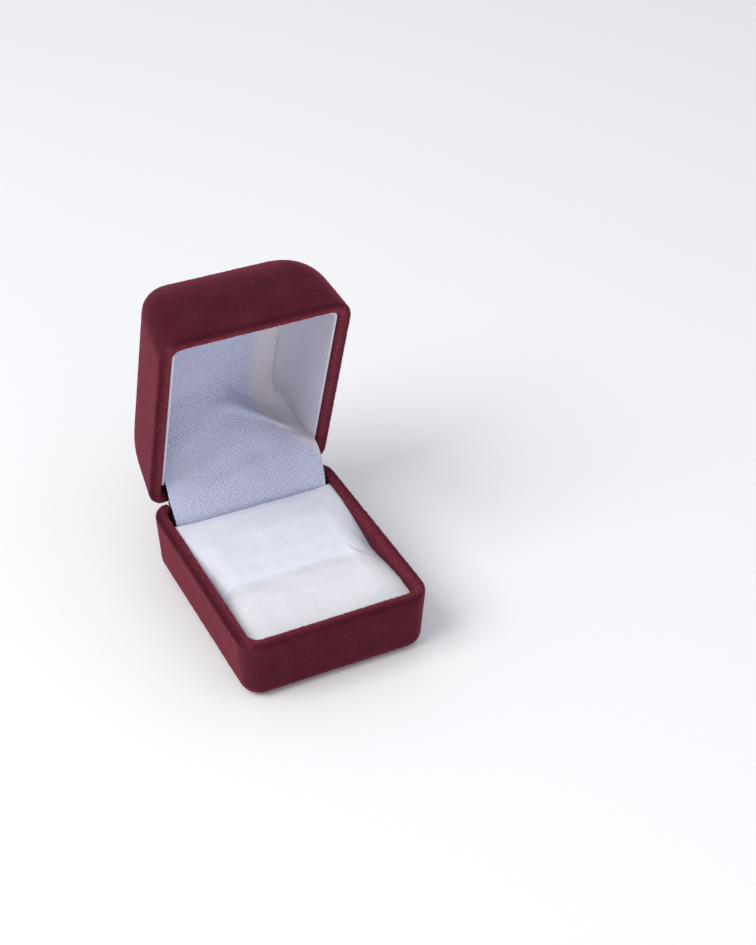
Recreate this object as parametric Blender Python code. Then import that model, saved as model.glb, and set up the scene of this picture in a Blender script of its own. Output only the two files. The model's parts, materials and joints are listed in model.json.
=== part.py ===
"""Ring box with a domed lid, standing open at its hinge stop.

The frame is +X to the right, +Y to the back and +Z up, with the origin at the centre of the
underside. Lid pieces are modelled as they lie with the box shut and hang from the hinge empty,
which swings them open. Lengths are metres.
"""

import math

import bmesh
import bpy
from mathutils import Matrix

MM = 0.001

# Overall form.
BOX_WIDTH = 48.0 * MM
BOX_DEPTH = 60.6 * MM
SEAM_HEIGHT = 16.65 * MM
WALL = 3.0 * MM
CORNER_RADIUS = 5.7 * MM
SEAM_GAP = 0.3 * MM
RIM_ROUND = 1.0 * MM
RIM_INNER_ROUND = 0.5 * MM

# Base shell.
BASE_DRAFT = 0.062
BASE_FLOOR = 2.0 * MM
BASE_EDGE_ROUND = 3.1 * MM
BASE_INNER_ROUND = 1.0 * MM

# Lid shell: drafted walls, a rounded shoulder and a low pyramid with a soft apex.
APEX_HEIGHT = 38.7 * MM
SHOULDER_HEIGHT = 21.9 * MM
SHOULDER_DRAFT = 0.083
SHOULDER_START = 0.49
SHOULDER_REACH = 0.36
APEX_BLEND = 0.80
LID_INNER_TOP_SCALE = 0.42

# Hinge axis and its stop.
OPEN_ANGLE = math.radians(72.5)
HINGE_SET_IN = 1.1 * MM
HINGE_BELOW_SEAM = 0.63 * MM
BASE_RELIEF = 0.2 * MM
LID_RELIEF = 0.9 * MM

# Sheet-steel hinge.
STEEL = 0.5 * MM
EYE_RADIUS = 1.1 * MM
PIN_RADIUS = 0.5 * MM
PIN_HEAD_RADIUS = 0.85 * MM
PIN_HEAD = 0.3 * MM
PIN_CLEARANCE = 0.08 * MM
PIN_HEAD_CLEARANCE = 0.2 * MM
LEAF_BEND_RADIUS = 2.3 * MM
LEAF_INSET = 0.5 * MM
EAR_INSET = 2.6 * MM
EAR_CLEARANCE = 0.25 * MM
EAR_REACH = 2.9 * MM
LEAF_SETBACK = 1.7 * MM
LID_LEAF_SETBACK = 0.5 * MM
WING_BELOW_SEAM = 0.45 * MM
BASE_LEAF_BELOW_SEAM = 3.65 * MM
BASE_LEAF_HEIGHT = 8.5 * MM
LID_LEAF_START = 1.0 * MM
LID_LEAF_HEIGHT = 6.4 * MM
NOTCH_CLEARANCE = 0.35 * MM
SPRING_WIDTH = 2.4 * MM
SPRING_STEEL = 0.3 * MM

# Ring pad and its board.
BOARD = 0.6 * MM
UPSTAND_BELOW_SEAM = 4.8 * MM
HINGE_BAY = 6.4 * MM
SLOT_FORWARD = 6.0 * MM
SLOT_GAP = 0.3 * MM
PAD_COVER = 0.6 * MM
PAD_SHOULDER = 6.0 * MM
BACK_EDGE_BELOW_SEAM = 1.85 * MM
FRONT_EDGE_BELOW_SEAM = 3.25 * MM
BACK_CROWN_RISE = 1.8 * MM
FRONT_CROWN_RISE = 2.2 * MM

# Lid lining.
CARD = 0.6 * MM
LINER_GAP = 0.3 * MM
LINER_RECESS = 1.2 * MM
LINER_TOP = 20.3 * MM
LINER_SHORT_OF_BACK = 4.2 * MM
CEILING_BOARD = 0.8 * MM
BOARD_SHORT_OF_BACK = 10.8 * MM
SATIN = 0.4 * MM
SATIN_INSET = 1.4 * MM
SATIN_TAIL_BELOW_SEAM = 8.6 * MM

# Gap kept between pieces that touch.
CLEARANCE = 0.3 * MM
CORNER_STEPS = 8

HALF_WIDTH = BOX_WIDTH / 2
HALF_DEPTH = BOX_DEPTH / 2
INNER_HALF_WIDTH = HALF_WIDTH - WALL
INNER_HALF_DEPTH = HALF_DEPTH - WALL
INNER_RADIUS = CORNER_RADIUS - WALL
HINGE_Y = HALF_DEPTH - HINGE_SET_IN
HINGE_Z = SEAM_HEIGHT - HINGE_BELOW_SEAM
BASE_RIM = SEAM_HEIGHT - SEAM_GAP / 2
LID_RIM = SEAM_HEIGHT + SEAM_GAP / 2
BASE_EAR_OUTER = INNER_HALF_WIDTH - EAR_INSET
LID_EAR_OUTER = BASE_EAR_OUTER - STEEL - EAR_CLEARANCE
PAD_BACK = INNER_HALF_DEPTH - HINGE_BAY
LEAF_FRONT = PAD_BACK + LEAF_SETBACK
LEAF_BACK = INNER_HALF_DEPTH - CLEARANCE
EAR_FRONT = INNER_HALF_DEPTH - EAR_REACH
LEAF_TOP = SEAM_HEIGHT - BASE_LEAF_BELOW_SEAM
LEAF_BOTTOM = LEAF_TOP - BASE_LEAF_HEIGHT
BACK_PAD_EDGE = SEAM_HEIGHT - BACK_EDGE_BELOW_SEAM
FRONT_PAD_EDGE = SEAM_HEIGHT - FRONT_EDGE_BELOW_SEAM
SATIN_HALF_WIDTH = INNER_HALF_WIDTH - SATIN_INSET


# ---------------------------------------------------------------- materials

def material(name, colour, roughness, metallic=0.0):
    made = bpy.data.materials.new(name)
    made.use_nodes = True
    shader = made.node_tree.nodes["Principled BSDF"]
    shader.inputs["Base Color"].default_value = (*colour, 1.0)
    shader.inputs["Roughness"].default_value = roughness
    shader.inputs["Metallic"].default_value = metallic
    return made


# ---------------------------------------------------------------- mesh helpers

def add_object(name, bm, look, parent=None):
    """Turns a bmesh into a named object. A hinge child is shifted so the axis is its origin."""
    bmesh.ops.remove_doubles(bm, verts=bm.verts, dist=1e-7)
    bmesh.ops.recalc_face_normals(bm, faces=bm.faces)
    if parent:
        bmesh.ops.translate(bm, verts=bm.verts, vec=(0, -HINGE_Y, -HINGE_Z))
    mesh = bpy.data.meshes.new(name)
    bm.to_mesh(mesh)
    bm.free()
    mesh.shade_smooth()
    mesh.set_sharp_from_angle(angle=math.radians(35))
    obj = bpy.data.objects.new(name, mesh)
    bpy.context.collection.objects.link(obj)
    obj.parent = parent
    if look:
        mesh.materials.append(look)
    return obj


def add_cutter(name, bm, parent=None):
    cutter = add_object(name, bm, None, parent)
    cutter.hide_render = True
    cutter.display_type = "WIRE"
    return cutter


def apply_boolean(obj, cutter, operation="DIFFERENCE"):
    modifier = obj.modifiers.new(cutter.name, "BOOLEAN")
    modifier.operation = operation
    modifier.solver = "EXACT"
    modifier.object = cutter


def rounded_rectangle(half_x, half_y, radius, z, y_shift=0.0):
    """Points of a rounded rectangle at height z, anticlockwise from above."""
    points = []
    for quarter, (sx, sy) in enumerate(((1, 1), (-1, 1), (-1, -1), (1, -1))):
        for step in range(CORNER_STEPS + 1):
            angle = math.radians(90 * (quarter + step / CORNER_STEPS))
            x = sx * (half_x - radius) + radius * math.cos(angle)
            y = sy * (half_y - radius) + radius * math.sin(angle)
            points.append((x, y + y_shift, z))
    return points


def skin(rings):
    """Closed mesh over a list of rings with as many points each; the end rings are capped."""
    bm = bmesh.new()
    loops = [[bm.verts.new(point) for point in ring] for ring in rings]
    count = len(loops[0])
    for low, high in zip(loops, loops[1:]):
        for i in range(count):
            j = (i + 1) % count
            bm.faces.new((low[i], low[j], high[j], high[i]))
    bm.faces.new(reversed(loops[0]))
    bm.faces.new(loops[-1])
    return bm


def block(low, high):
    """Plain box between two corners."""
    bm = bmesh.new()
    add_block(bm, low, high)
    return bm


def add_block(bm, low, high):
    size = [b - a for a, b in zip(low, high)]
    centre = [(a + b) / 2 for a, b in zip(low, high)]
    place = Matrix.Translation(centre) @ Matrix.Diagonal((*size, 1))
    bmesh.ops.create_cube(bm, size=1.0, matrix=place)


def extrude_outline(outline, x_low, x_high, hole=None):
    """Plate with a (y, z) outline between two x planes, with an optional round hole."""
    bm = bmesh.new()
    loops = [outline] + ([hole] if hole else [])
    edges = []
    for loop in loops:
        verts = [bm.verts.new((x_low, y, z)) for y, z in loop]
        edges += [bm.edges.new((a, b)) for a, b in zip(verts, verts[1:] + verts[:1])]
    bmesh.ops.triangle_fill(bm, use_beauty=True, edges=edges)
    made = bmesh.ops.extrude_face_region(bm, geom=bm.faces[:])
    moved = [item for item in made["geom"] if isinstance(item, bmesh.types.BMVert)]
    bmesh.ops.translate(bm, verts=moved, vec=(x_high - x_low, 0, 0))
    return bm


def arc(centre, radius, start, end, steps):
    """Points of an arc in a plane, from start to end degrees."""
    points = []
    for step in range(steps + 1):
        angle = math.radians(start + (end - start) * step / steps)
        points.append((centre[0] + radius * math.cos(angle), centre[1] + radius * math.sin(angle)))
    return points


# ---------------------------------------------------------------- the two shells

def base_inset(z):
    """How far the drafted outer wall of the base stands in from the rim at height z."""
    return (SEAM_HEIGHT - z) * BASE_DRAFT


def base_shell_rings():
    rings = []
    for step in range(6):
        angle = math.radians(90 * step / 5)
        z = BASE_EDGE_ROUND * (1 - math.cos(angle))
        inset = base_inset(z) + BASE_EDGE_ROUND * (1 - math.sin(angle))
        rings.append((inset, z))
    for step in range(5):
        angle = math.radians(90 * step / 4)
        z = BASE_RIM - RIM_ROUND * (1 - math.sin(angle))
        rings.append((base_inset(z) + RIM_ROUND * (1 - math.cos(angle)), z))
    for step in range(3):
        angle = math.radians(90 * step / 2)
        z = BASE_RIM - RIM_INNER_ROUND * (1 - math.cos(angle))
        rings.append((WALL - RIM_INNER_ROUND * (1 - math.sin(angle)), z))
    for step in range(4):
        angle = math.radians(90 * step / 3)
        z = BASE_FLOOR + BASE_INNER_ROUND * (1 - math.sin(angle))
        rings.append((WALL + BASE_INNER_ROUND * (1 - math.cos(angle)), z))
    return rings


def shell_ring(inset, z):
    radius = max(CORNER_RADIUS - inset, 1.0 * MM)
    return rounded_rectangle(HALF_WIDTH - inset, HALF_DEPTH - inset, radius, z)


def shoulder_points():
    """Control points (scale, height above the seam) of the rounded shoulder."""
    start = SHOULDER_HEIGHT * (1 - SHOULDER_START)
    low = (1 - SHOULDER_DRAFT * start / SHOULDER_HEIGHT, start)
    bend = (1 - SHOULDER_DRAFT, SHOULDER_HEIGHT)
    high = (
        bend[0] * (1 - SHOULDER_REACH),
        bend[1] + SHOULDER_REACH * (APEX_HEIGHT - bend[1]),
    )
    return low, bend, high


def bezier(low, bend, high, s):
    return tuple(
        (1 - s) ** 2 * a + 2 * s * (1 - s) * b + s * s * c for a, b, c in zip(low, bend, high)
    )


def lid_scale(height):
    """Plan size of the lid's outside at a height above the seam, as a share of the rim's."""
    low, bend, high = shoulder_points()
    if height <= low[1]:
        return 1 - SHOULDER_DRAFT * height / SHOULDER_HEIGHT
    if height >= high[1]:
        return high[0] * (APEX_HEIGHT - height) / (APEX_HEIGHT - high[1])
    a = low[1] - 2 * bend[1] + high[1]
    b = 2 * (bend[1] - low[1])
    c = low[1] - height
    s = (-b + math.sqrt(b * b - 4 * a * c)) / (2 * a)
    return bezier(low, bend, high, s)[0]


def lid_inner_ring(height, inset=0.0):
    """Inside of the lid shell at a height above the seam, drawn in by an inset."""
    scale = lid_scale(height)
    radius = max(CORNER_RADIUS * scale - WALL - inset, 0.8 * MM)
    half_x = HALF_WIDTH * scale - WALL - inset
    half_y = HALF_DEPTH * scale - WALL - inset
    return half_x, half_y, radius


def lid_profile():
    """(scale, height above the seam) up the outside, from the wall to the apex."""
    low, bend, high = shoulder_points()
    points = [bezier(low, bend, high, step / 9) for step in range(10)]
    blend = (high[0] * (1 - APEX_BLEND), high[1] + APEX_BLEND * (APEX_HEIGHT - high[1]))
    points.append(((high[0] + blend[0]) / 2, (high[1] + blend[1]) / 2))
    opposite = (-blend[0], blend[1])
    points += [bezier(blend, (0.0, APEX_HEIGHT), opposite, s) for s in (0.0, 0.16, 0.32, 0.46)]
    return points


def lid_shell_rings():
    rings = []
    top = SHOULDER_HEIGHT
    while lid_scale(top) > LID_INNER_TOP_SCALE:
        top += 0.5 * MM
    rim = LID_RIM - SEAM_HEIGHT
    low = shoulder_points()[0][1]
    inner_heights = [top - (top - low) * step / 8 for step in range(9)]
    for height in inner_heights + [rim + RIM_INNER_ROUND]:
        rings.append(rounded_rectangle(*lid_inner_ring(height), SEAM_HEIGHT + height))
    half_x, half_y, radius = lid_inner_ring(rim)
    for step in (1, 2):
        angle = math.radians(90 * step / 2)
        out = RIM_INNER_ROUND * (1 - math.cos(angle))
        z = LID_RIM + RIM_INNER_ROUND * (1 - math.sin(angle))
        rings.append(rounded_rectangle(half_x + out, half_y + out, radius + out, z))
    for step in range(5):
        angle = math.radians(90 * step / 4)
        z = LID_RIM + RIM_ROUND * (1 - math.cos(angle))
        inset = RIM_ROUND * (1 - math.sin(angle))
        rings.append(lid_outer_ring(lid_scale(z - SEAM_HEIGHT), inset, z))
    for scale, height in lid_profile():
        rings.append(lid_outer_ring(scale, 0.0, SEAM_HEIGHT + height))
    return rings


def lid_outer_ring(scale, inset, z):
    radius = CORNER_RADIUS * scale - inset
    return rounded_rectangle(HALF_WIDTH * scale - inset, HALF_DEPTH * scale - inset, radius, z)


def relief_cutter(name, slope, offset, parent=None):
    """Half-space behind the hinge axis that trims a back rim to a sloping stop face."""
    reach = 10 * MM
    bm = block((-HALF_WIDTH, offset, -reach), (HALF_WIDTH, reach, reach))
    place = Matrix.Translation((0, HINGE_Y, HINGE_Z)) @ Matrix.Rotation(slope, 4, "X")
    bmesh.ops.transform(bm, matrix=place, verts=bm.verts)
    return add_cutter(name, bm, parent)


def notch_cutter(name, z_low, z_high, parent=None):
    """Two slots through a back rim, one for each pair of hinge ears and its pin."""
    inner = LID_EAR_OUTER - STEEL - PIN_HEAD_CLEARANCE - PIN_HEAD - NOTCH_CLEARANCE
    outer = BASE_EAR_OUTER + PIN_HEAD_CLEARANCE + PIN_HEAD + NOTCH_CLEARANCE
    bm = bmesh.new()
    for low, high in ((inner, outer), (-outer, -inner)):
        front = INNER_HALF_DEPTH - INNER_RADIUS - CLEARANCE
        add_block(bm, (low, front, z_low), (high, HALF_DEPTH + 2 * MM, z_high))
    return add_cutter(name, bm, parent)


def make_shells(velvet, hinge):
    stop_slope = (math.pi - OPEN_ANGLE) / 2
    ear_space = EYE_RADIUS + NOTCH_CLEARANCE
    base = add_object("base_shell", skin([shell_ring(*ring) for ring in base_shell_rings()]), velvet)
    apply_boolean(base, relief_cutter("base_relief_cutter", stop_slope, BASE_RELIEF))
    apply_boolean(base, notch_cutter("base_notch_cutter", HINGE_Z - ear_space, SEAM_HEIGHT + WALL))
    lid = add_object("lid_shell", skin(lid_shell_rings()), velvet, hinge)
    apply_boolean(lid, relief_cutter("lid_relief_cutter", -stop_slope, -LID_RELIEF, hinge))
    apply_boolean(
        lid, notch_cutter("lid_notch_cutter", SEAM_HEIGHT - WALL, HINGE_Z + ear_space, hinge)
    )


# ---------------------------------------------------------------- hinge

def u_strip(half_x, back_y, front_y, z_low, z_high):
    """Steel strip bent to a U in plan, open at the front; the sizes are its outer face's."""
    loop = []
    for inset in (0.0, STEEL):
        bend = LEAF_BEND_RADIUS - inset
        centre_x = half_x - LEAF_BEND_RADIUS
        centre_y = back_y - LEAF_BEND_RADIUS
        path = [(half_x - inset, front_y)]
        path += arc((centre_x, centre_y), bend, 0, 90, 6)
        path += arc((-centre_x, centre_y), bend, 90, 180, 6)
        path.append((inset - half_x, front_y))
        loop += path if inset == 0.0 else list(reversed(path))
    return skin([[(x, y, z) for x, y in loop] for z in (z_low, z_high)])


def pin_hole():
    return arc((HINGE_Y, HINGE_Z), PIN_RADIUS + PIN_CLEARANCE, 0, 345, 23)


def base_ear_outline():
    """Tab of the base leaf that runs back through the rim to the hinge axis."""
    return [
        (EAR_FRONT, LEAF_TOP - MM),
        (LEAF_BACK - STEEL / 2, LEAF_TOP - MM),
        (LEAF_BACK - STEEL / 2, HINGE_Z - EYE_RADIUS),
        *arc((HINGE_Y, HINGE_Z), EYE_RADIUS, -90, 90, 10),
        (EAR_FRONT, HINGE_Z + EYE_RADIUS),
    ]


def base_wing_outline():
    """Front end of the base leaf's side, which stands up to the rim."""
    back = LEAF_BACK - LEAF_BEND_RADIUS
    wing_top = SEAM_HEIGHT - WING_BELOW_SEAM
    low = LEAF_TOP - MM
    return [(LEAF_FRONT, low), (back, low), (back, wing_top), (LEAF_FRONT, wing_top)]


def lid_leaf_back():
    """Outer face of the lid leaf's back, which clears the drafted wall at the leaf's top."""
    return lid_inner_ring(LID_LEAF_START + LID_LEAF_HEIGHT)[1] - CLEARANCE


def lid_ear_outline():
    """Tab of the lid leaf, as it lies with the box shut."""
    high = SEAM_HEIGHT + LID_LEAF_START + MM
    back = lid_leaf_back() - STEEL / 2
    return [
        (EAR_FRONT, HINGE_Z - EYE_RADIUS),
        *arc((HINGE_Y, HINGE_Z), EYE_RADIUS, -90, 90, 10),
        (back, HINGE_Z + EYE_RADIUS),
        (back, high),
        (EAR_FRONT, high),
    ]


def add_plates(leaf, word, outline, outer, parent=None, hole=None):
    """Joins an upright plate to a leaf on each side, with its outer face at outer."""
    for side, x in (("right", outer - STEEL), ("left", -outer)):
        plate = extrude_outline(outline, x, x + STEEL, hole)
        apply_boolean(leaf, add_cutter(f"{leaf.name}_{word}_{side}", plate, parent), "UNION")


def add_pin(name, side, steel):
    """Shouldered rivet through one pair of ears."""
    inner = LID_EAR_OUTER - STEEL - PIN_HEAD_CLEARANCE
    outer = BASE_EAR_OUTER + PIN_HEAD_CLEARANCE
    profile = [
        (inner - PIN_HEAD, PIN_HEAD_RADIUS),
        (inner, PIN_HEAD_RADIUS),
        (inner, PIN_RADIUS),
        (outer, PIN_RADIUS),
        (outer, PIN_HEAD_RADIUS),
        (outer + PIN_HEAD, PIN_HEAD_RADIUS),
    ]
    rings = []
    for x, radius in profile:
        circle = arc((HINGE_Y, HINGE_Z), radius, 0, 345, 23)
        rings.append([(side * x, y, z) for y, z in circle])
    add_object(name, skin(rings), steel)


def add_snap_spring(name, side, steel):
    """Bent spring strip that stands on the base leaf and presses up under a lid ear."""
    back = INNER_HALF_DEPTH - CLEARANCE - LEAF_BEND_RADIUS + SPRING_STEEL
    tip_z = HINGE_Z - EYE_RADIUS - 0.5 * MM
    spine = [
        (back, LEAF_BOTTOM + 0.8 * MM),
        (back, LEAF_BOTTOM + 4.5 * MM),
        (back - 0.5 * MM, tip_z - 1.2 * MM),
        (back + 0.6 * MM, tip_z),
    ]
    front = [(y - SPRING_STEEL, z) for y, z in reversed(spine)]
    x_high = LID_EAR_OUTER
    bm = extrude_outline(spine + front, x_high - SPRING_WIDTH, x_high)
    if side < 0:
        bmesh.ops.scale(bm, vec=(-1, 1, 1), verts=bm.verts)
    add_object(name, bm, steel)


def make_hinge(steel, hinge):
    strip = u_strip(INNER_HALF_WIDTH - LEAF_INSET, LEAF_BACK, LEAF_FRONT, LEAF_BOTTOM, LEAF_TOP)
    leaf = add_object("hinge_base_leaf", strip, steel)
    add_plates(leaf, "ear", base_ear_outline(), BASE_EAR_OUTER, hole=pin_hole())
    add_plates(leaf, "wing", base_wing_outline(), INNER_HALF_WIDTH - LEAF_INSET)
    low = LID_LEAF_START
    high = LID_LEAF_START + LID_LEAF_HEIGHT
    half_x = lid_inner_ring(high)[0] - CLEARANCE
    front = INNER_HALF_DEPTH - LINER_SHORT_OF_BACK + LID_LEAF_SETBACK
    strip = u_strip(half_x, lid_leaf_back(), front, SEAM_HEIGHT + low, SEAM_HEIGHT + high)
    leaf = add_object("hinge_lid_leaf", strip, steel, hinge)
    add_plates(leaf, "ear", lid_ear_outline(), LID_EAR_OUTER, hinge, pin_hole())
    for word, side in (("left", -1), ("right", 1)):
        add_pin(f"hinge_pin_{word}", side, steel)
        add_snap_spring(f"snap_spring_{word}", side, steel)


# ---------------------------------------------------------------- ring pad

def pad_rings(front_y, back_y, edge, rise, inset):
    """Rings of one crowned pad half, drawn in by an inset on every side but the bottom."""
    half_x = INNER_HALF_WIDTH - CLEARANCE - inset
    half_y = (back_y - front_y) / 2 - inset
    middle = (front_y + back_y) / 2
    bottom = BASE_FLOOR + CLEARANCE + BOARD + CLEARANCE
    corner = INNER_RADIUS - CLEARANCE - inset
    levels = [
        (0.0, bottom),
        (0.0, edge - 1.6 * MM),
        (0.5 * MM, edge - 0.5 * MM),
        (1.8 * MM, edge + 0.3 * rise),
        (PAD_SHOULDER, edge + rise),
    ]
    rings = []
    for pull, z in levels:
        top = z - (inset if z > bottom else 0.0)
        radius = corner + pull * 0.5
        rings.append(rounded_rectangle(half_x - pull, half_y - pull, radius, top, middle))
    return rings


def make_pad_half(name, front_y, back_y, edge, rise, velour, foam):
    outside = pad_rings(front_y, back_y, edge, rise, 0.0)
    inside = pad_rings(front_y, back_y, edge, rise, PAD_COVER)
    add_object(f"pad_cover_{name}", skin_cup(outside, inside), velour)
    core = pad_rings(front_y, back_y, edge, rise, PAD_COVER + CLEARANCE)
    add_object(f"pad_foam_{name}", skin(core), foam)


def skin_cup(outside, inside):
    """Cup turned upside down: two nested skins joined round the open bottom edge."""
    return skin(list(reversed(outside)) + inside)


def make_pad(velour, foam, card):
    front = -(INNER_HALF_DEPTH - CLEARANCE)
    slot_y = -SLOT_FORWARD
    make_pad_half(
        "back", slot_y + SLOT_GAP / 2, PAD_BACK, BACK_PAD_EDGE, BACK_CROWN_RISE, velour, foam
    )
    make_pad_half(
        "front", front, slot_y - SLOT_GAP / 2, FRONT_PAD_EDGE, FRONT_CROWN_RISE, velour, foam
    )
    low = BASE_FLOOR + CLEARANCE
    half_x = INNER_HALF_WIDTH - 2 * CLEARANCE
    board_front = front + CLEARANCE
    upstand_front = PAD_BACK + SATIN + 2 * CLEARANCE
    upstand_back = upstand_front + BOARD
    upstand_top = SEAM_HEIGHT - UPSTAND_BELOW_SEAM
    outline = [
        (board_front, low),
        (upstand_back, low),
        (upstand_back, upstand_top),
        (upstand_front, upstand_top),
        (upstand_front, low + BOARD),
        (board_front, low + BOARD),
    ]
    board = extrude_outline(outline, -half_x, half_x)
    corners = [
        edge for edge in board.edges
        if all(abs(v.co.y - board_front) < CLEARANCE / 10 for v in edge.verts)
        and abs(edge.verts[0].co.x - edge.verts[1].co.x) < CLEARANCE / 10
        and abs(edge.verts[0].co.z - edge.verts[1].co.z) > BOARD / 2
    ]
    bmesh.ops.bevel(board, geom=corners, offset=INNER_RADIUS, segments=5, affect="EDGES", profile=0.5)
    add_object("pad_board", board, card)


# ---------------------------------------------------------------- lid lining

def make_wall_liner(card, hinge):
    """Card strip round the left, front and right walls of the lid."""
    rings = []
    count = 6
    heights = [LINER_RECESS + (LINER_TOP - LINER_RECESS) * step / count for step in range(count + 1)]
    for height in heights:
        loop = []
        back = lid_inner_ring(height)[1] - LINER_SHORT_OF_BACK
        for inset in (LINER_GAP, LINER_GAP + CARD):
            half_x, half_y, radius = lid_inner_ring(height, inset)
            radius = max(radius, MM)
            path = [(half_x, back)]
            path += arc((half_x - radius, radius - half_y), radius, 0, -90, 5)
            path += arc((radius - half_x, radius - half_y), radius, -90, -180, 5)
            path.append((-half_x, back))
            loop += path if inset == LINER_GAP else list(reversed(path))
        rings.append([(x, y, SEAM_HEIGHT + height) for x, y in loop])
    add_object("lid_wall_liner", skin(rings), card, hinge)


def make_ceiling_board(card, hinge):
    top = LINER_TOP + SATIN + 2 * CLEARANCE + CEILING_BOARD
    half_x, half_y, _ = lid_inner_ring(top, 3 * CLEARANCE)
    front = -half_y
    low = (-half_x, front, SEAM_HEIGHT + top - CEILING_BOARD)
    high = (half_x, INNER_HALF_DEPTH - BOARD_SHORT_OF_BACK, SEAM_HEIGHT + top)
    add_object("lid_ceiling_board", block(low, high), card, hinge)


def opened(y, height):
    """World (y, z) of a lid point given shut as (y, height above the seam)."""
    dy = y - HINGE_Y
    dz = height + SEAM_HEIGHT - HINGE_Z
    c = math.cos(OPEN_ANGLE)
    s = math.sin(OPEN_ANGLE)
    return HINGE_Y + c * dy + s * dz, HINGE_Z - s * dy + c * dz


def smooth_path(points, steps):
    """Catmull-Rom curve through tuples of any length."""
    path = []
    last = len(points) - 1
    for i in range(last):
        a, b = points[max(i - 1, 0)], points[i]
        c, d = points[i + 1], points[min(i + 2, last)]
        for step in range(steps):
            t = step / steps
            path.append(
                tuple(
                    0.5 * (2 * q + (r - p) * t + (2 * p - 5 * q + 4 * r - s) * t * t
                           + (3 * q - p - 3 * r + s) * t ** 3)
                    for p, q, r, s in zip(a, b, c, d)
                )
            )
    path.append(tuple(points[-1]))
    return path


def satin_route():
    """(y, z, half width) of the satin, from behind the pad over the hinge and into the lid."""
    tail_y = PAD_BACK + CLEARANCE + SATIN / 2
    ceiling = LINER_TOP
    wide = SATIN_HALF_WIDTH
    route = [
        (tail_y, SEAM_HEIGHT - SATIN_TAIL_BELOW_SEAM, wide),
        (tail_y, BACK_PAD_EDGE - 1.2 * MM, wide),
        (tail_y + 1.3 * MM, SEAM_HEIGHT + 0.2 * MM, wide),
        (tail_y + 4.2 * MM, SEAM_HEIGHT + 3.6 * MM, wide),
    ]
    # Distance in front of the back wall, and height above the seam, up the inside of the lid.
    inside = [(5.7, 1.8), (7.1, 6.0), (8.1, 12.0), (10.7, 17.2)]
    for forward, height in inside:
        y = INNER_HALF_DEPTH - forward * MM
        route.append((*opened(y, height * MM), satin_reach(height * MM)))
    front = -(lid_inner_ring(ceiling)[1] - LINER_GAP - CARD - 2 * CLEARANCE)
    for y in (INNER_HALF_DEPTH - 15.3 * MM, INNER_HALF_DEPTH - 23.3 * MM, front):
        route.append((*opened(y, ceiling), satin_reach(ceiling)))
    return route


def satin_reach(height):
    """Half width of the satin between the side liners at a height above the seam."""
    room = lid_inner_ring(height)[0] - LINER_GAP - CARD - CLEARANCE
    return min(room - 0.1 * MM, SATIN_HALF_WIDTH)


def make_satin(satin):
    path = smooth_path(satin_route(), 4)
    rings = []
    for i, (y, z, half) in enumerate(path):
        before, after = path[max(i - 1, 0)], path[min(i + 1, len(path) - 1)]
        ty, tz = after[0] - before[0], after[1] - before[1]
        length = math.hypot(ty, tz)
        ny, nz = -tz / length * SATIN / 2, ty / length * SATIN / 2
        rings.append([
            (-half, y - ny, z - nz),
            (half, y - ny, z - nz),
            (half, y + ny, z + nz),
            (-half, y + ny, z + nz),
        ])
    add_object("satin_lining", skin(rings), satin)


# ---------------------------------------------------------------- assembly

def clear_scene():
    for obj in list(bpy.data.objects):
        bpy.data.objects.remove(obj, do_unlink=True)


def main():
    clear_scene()
    velvet = material("burgundy_flock", (0.085, 0.015, 0.026), 0.95)
    steel = material("black_steel", (0.01, 0.009, 0.01), 0.45, 0.8)
    velour = material("white_velour", (0.80, 0.80, 0.84), 0.95)
    foam = material("foam", (0.85, 0.84, 0.80), 0.9)
    card = material("white_card", (0.68, 0.67, 0.72), 0.6)
    satin = material("white_satin", (0.62, 0.63, 0.72), 0.35)
    hinge = bpy.data.objects.new("lid_hinge_axis", None)
    bpy.context.collection.objects.link(hinge)
    hinge.location = (0, HINGE_Y, HINGE_Z)
    hinge.rotation_euler = (-OPEN_ANGLE, 0, 0)
    make_shells(velvet, hinge)
    make_hinge(steel, hinge)
    make_pad(velour, foam, card)
    make_wall_liner(card, hinge)
    make_ceiling_board(card, hinge)
    make_satin(satin)


main()
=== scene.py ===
"""Looks of the flocked ring box: pile, satin lining, velour pad, card, steel, light and camera."""

import json
import math

import bpy
import numpy as np
from mathutils import Matrix, Vector
from mathutils.bvhtree import BVHTree


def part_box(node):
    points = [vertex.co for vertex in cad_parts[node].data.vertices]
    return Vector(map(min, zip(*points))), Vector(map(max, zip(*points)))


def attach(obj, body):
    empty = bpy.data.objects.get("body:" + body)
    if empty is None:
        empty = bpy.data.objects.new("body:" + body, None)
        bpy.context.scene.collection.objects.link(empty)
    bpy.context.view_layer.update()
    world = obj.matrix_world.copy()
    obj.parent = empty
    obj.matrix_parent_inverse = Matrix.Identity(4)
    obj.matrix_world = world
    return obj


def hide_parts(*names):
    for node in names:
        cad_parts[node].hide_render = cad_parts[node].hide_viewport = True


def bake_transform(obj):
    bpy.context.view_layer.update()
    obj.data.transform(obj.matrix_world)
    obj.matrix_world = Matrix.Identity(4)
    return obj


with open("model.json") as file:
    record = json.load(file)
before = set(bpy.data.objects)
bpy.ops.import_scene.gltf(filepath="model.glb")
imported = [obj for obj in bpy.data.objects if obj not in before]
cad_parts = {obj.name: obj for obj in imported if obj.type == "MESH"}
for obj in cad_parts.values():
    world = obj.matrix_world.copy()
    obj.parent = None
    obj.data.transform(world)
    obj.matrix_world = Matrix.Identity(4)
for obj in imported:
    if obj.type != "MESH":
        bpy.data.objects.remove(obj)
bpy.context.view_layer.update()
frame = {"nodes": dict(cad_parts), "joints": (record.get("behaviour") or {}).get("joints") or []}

MM = 0.001

# Camera, as a lens and three directions in the frame.
LENS = 69.64
CAMERA_AT = (-0.13604, -0.31733, 0.28959)
CAMERA_FORWARD = (0.3648, 0.7222, -0.58767)
CAMERA_RIGHT = (0.8955, -0.44496, 0.00906)

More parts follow.
